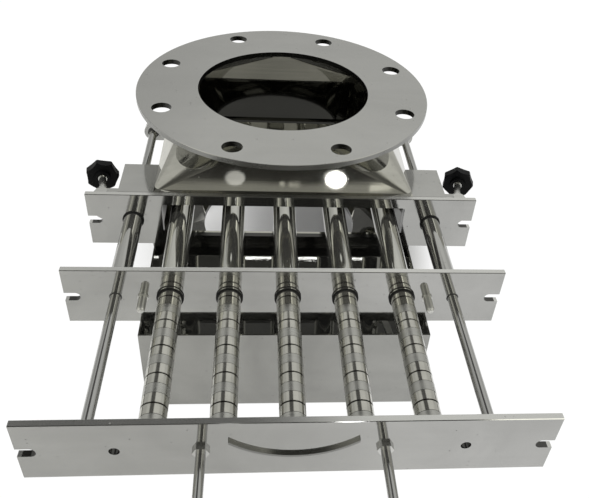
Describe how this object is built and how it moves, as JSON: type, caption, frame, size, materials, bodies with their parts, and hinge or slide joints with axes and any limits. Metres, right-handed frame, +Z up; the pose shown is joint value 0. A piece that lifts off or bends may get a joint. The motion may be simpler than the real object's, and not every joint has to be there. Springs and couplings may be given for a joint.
{
  "type": "chute magnet",
  "caption": "Flanged stainless duct with a drawer of closed tubes, magnet cores that draw out of them on guide rods, swing-bolt clamps and a sloping catch tray.",
  "frame": {"origin": "centre of the outlet flange's lower face, on the duct's axis", "axes": "+Z up the duct towards the inlet, the drawer is pulled out towards -Y, +X to the right of a person facing the drawer"},
  "size_m": [0.4605, 0.6876, 0.2313],
  "materials": {
    "satin_steel": "ground and polished stainless sheet",
    "polished_steel": "mirror-polished stainless sheet",
    "plate_steel": "polished stainless plate",
    "tube_steel": "polished stainless tube",
    "rod_steel": "drawn bright bar",
    "magnet_nickel": "nickel-plated magnet",
    "pole_steel": "turned steel pole piece",
    "knob_plastic": "moulded black plastic",
    "seal_rubber": "pale food-grade rubber",
    "bush_plastic": "white bearing plastic",
    "zinc_hardware": "bright hardware"
  },
  "bodies": {
    "duct_frame": {"catch_tray": "polished_steel", "face_plate": "plate_steel", "housing": "polished_steel", "inlet_flange": "satin_steel", "inlet_transition": "polished_steel", "left_guide_bracket": "plate_steel", "left_hinge_lugs": "plate_steel", "left_hinge_pin": "zinc_hardware", "left_rear_bush": "bush_plastic", "left_rear_lug": "plate_steel", "outlet_flange": "satin_steel", "outlet_transition": "polished_steel", "right_guide_bracket": "plate_steel", "right_hinge_lugs": "plate_steel", "right_hinge_pin": "zinc_hardware", "right_rear_bush": "bush_plastic", "right_rear_lug": "plate_steel", "tray_nuts": "zinc_hardware", "tray_screws": "zinc_hardware"},
    "tube_stage": {"left_dowel": "rod_steel", "left_guide_tube": "tube_steel", "left_stop_ring": "zinc_hardware", "left_tube_bushes": "bush_plastic", "plate_seal": "seal_rubber", "right_dowel": "rod_steel", "right_guide_tube": "tube_steel", "right_stop_ring": "zinc_hardware", "right_tube_bushes": "bush_plastic", "tube_1": "tube_steel", "tube_2": "tube_steel", "tube_3": "tube_steel", "tube_4": "tube_steel", "tube_5": "tube_steel", "tube_plate": "plate_steel"},
    "magnet_stage": {"core_1_magnets": "magnet_nickel", "core_1_poles": "pole_steel", "core_2_magnets": "magnet_nickel", "core_2_poles": "pole_steel", "core_3_magnets": "magnet_nickel", "core_3_poles": "pole_steel", "core_4_magnets": "magnet_nickel", "core_4_poles": "pole_steel", "core_5_magnets": "magnet_nickel", "core_5_poles": "pole_steel", "core_feet": "pole_steel", "core_tips": "pole_steel", "finger_lip": "rod_steel", "handle_nuts": "zinc_hardware", "left_guide_rod": "rod_steel", "left_stop_collar": "zinc_hardware", "magnet_plate": "plate_steel", "pull_handle": "rod_steel", "right_guide_rod": "rod_steel", "right_stop_collar": "zinc_hardware"},
    "left_clamp": {"left_swing_bolt": "zinc_hardware"},
    "right_clamp": {"right_swing_bolt": "zinc_hardware"},
    "left_knob_turn": {"left_knob_insert": "zinc_hardware", "left_star_knob": "knob_plastic"},
    "right_knob_turn": {"right_knob_insert": "zinc_hardware", "right_star_knob": "knob_plastic"}
  },
  "joints": [
    {"name": "tube_stage_slide", "type": "slide", "parent": "duct_frame", "child": "tube_stage", "axis": [0, 1, 0], "range_m": [0, 0.113]},
    {"name": "magnet_stage_slide", "type": "slide", "parent": "tube_stage", "child": "magnet_stage", "axis": [0, 1, 0], "range_m": [0, 0.164]},
    {"name": "left_bolt_swing", "type": "hinge", "parent": "duct_frame", "child": "left_clamp", "pos_m": [-0.2, -0.116, 0.112], "axis": [0, 0, 1], "range_deg": [-10, 170]},
    {"name": "left_knob_spin", "type": "hinge", "parent": "left_clamp", "child": "left_knob_turn", "pos_m": [-0.20844, -0.06814, 0.112], "axis": [-0.1736, 0.9848, 0], "continuous": true},
    {"name": "right_bolt_swing", "type": "hinge", "parent": "duct_frame", "child": "right_clamp", "pos_m": [0.2, -0.116, 0.112], "axis": [0, 0, 1], "range_deg": [-166, 14]},
    {"name": "right_knob_spin", "type": "hinge", "parent": "right_clamp", "child": "right_knob_turn", "pos_m": [0.21176, -0.06884, 0.112], "axis": [0.2419, 0.9703, 0], "continuous": true}
  ]
}
